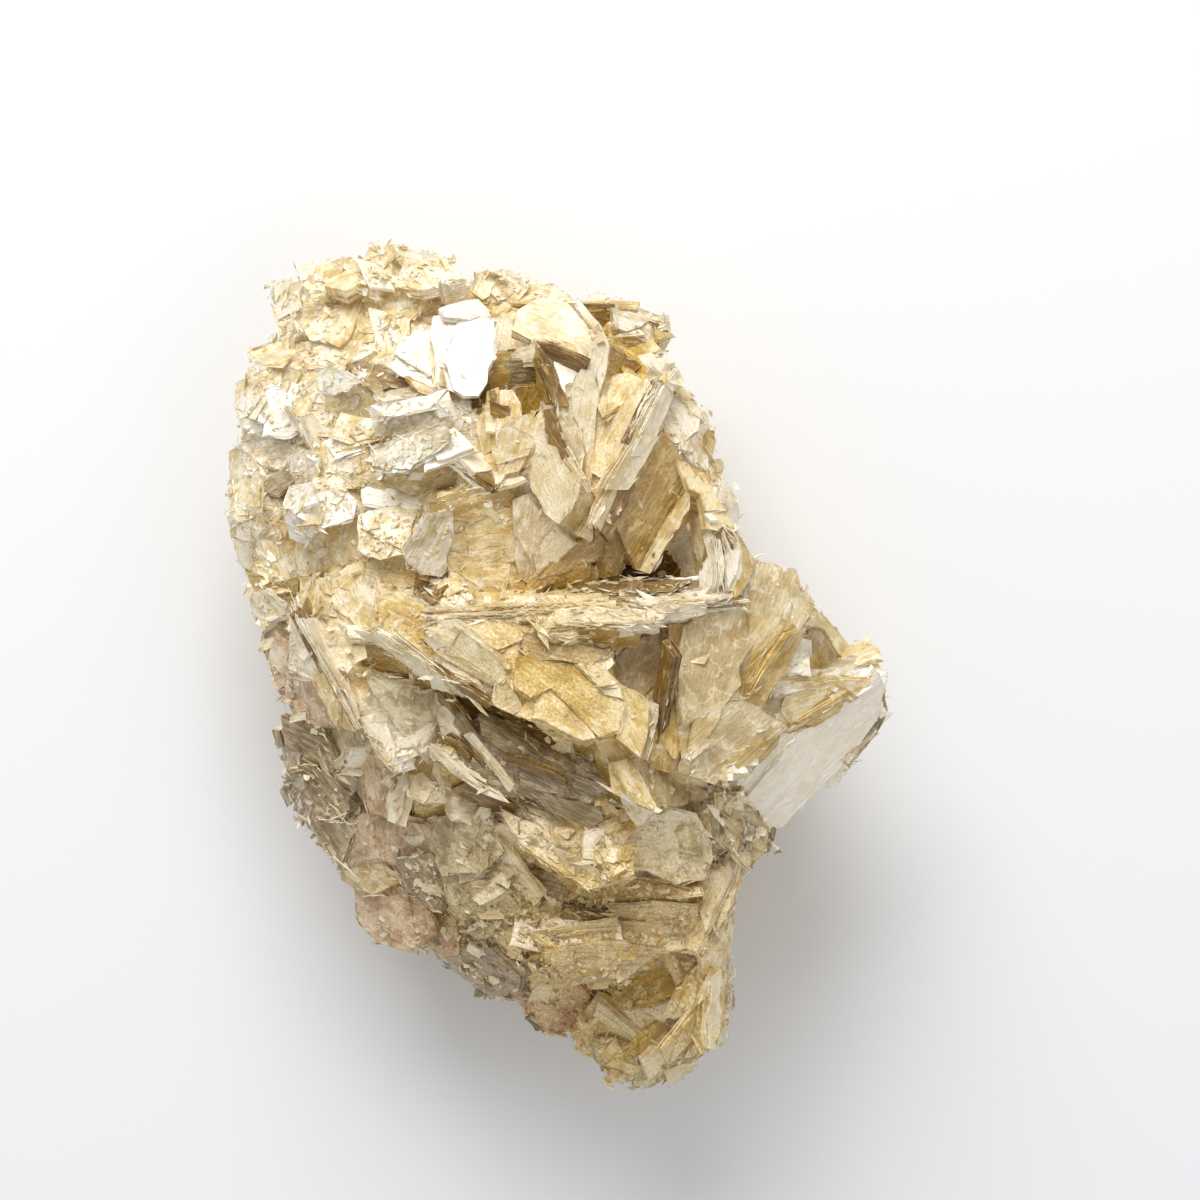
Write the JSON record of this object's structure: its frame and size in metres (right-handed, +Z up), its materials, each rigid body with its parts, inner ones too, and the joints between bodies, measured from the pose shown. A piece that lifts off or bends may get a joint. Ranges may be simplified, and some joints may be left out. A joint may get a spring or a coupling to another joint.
{
  "type": "mica crystal specimen",
  "caption": "Specimen of golden mica: intergrown books, blades and flakes in one rough mass, lying on a flat cleavage face.",
  "frame": {"origin": "centre of the flat face that the specimen rests on", "axes": "+Z up, away from the rest face; +Y along the specimen towards its broad end; +X to the right when seen from above"},
  "size_m": [0.09, 0.1138, 0.0567],
  "materials": {
    "mica": "pearly, flaky, pale gold to silver"
  },
  "bodies": {
    "root": {"mica_cluster": "mica"}
  },
  "joints": []
}
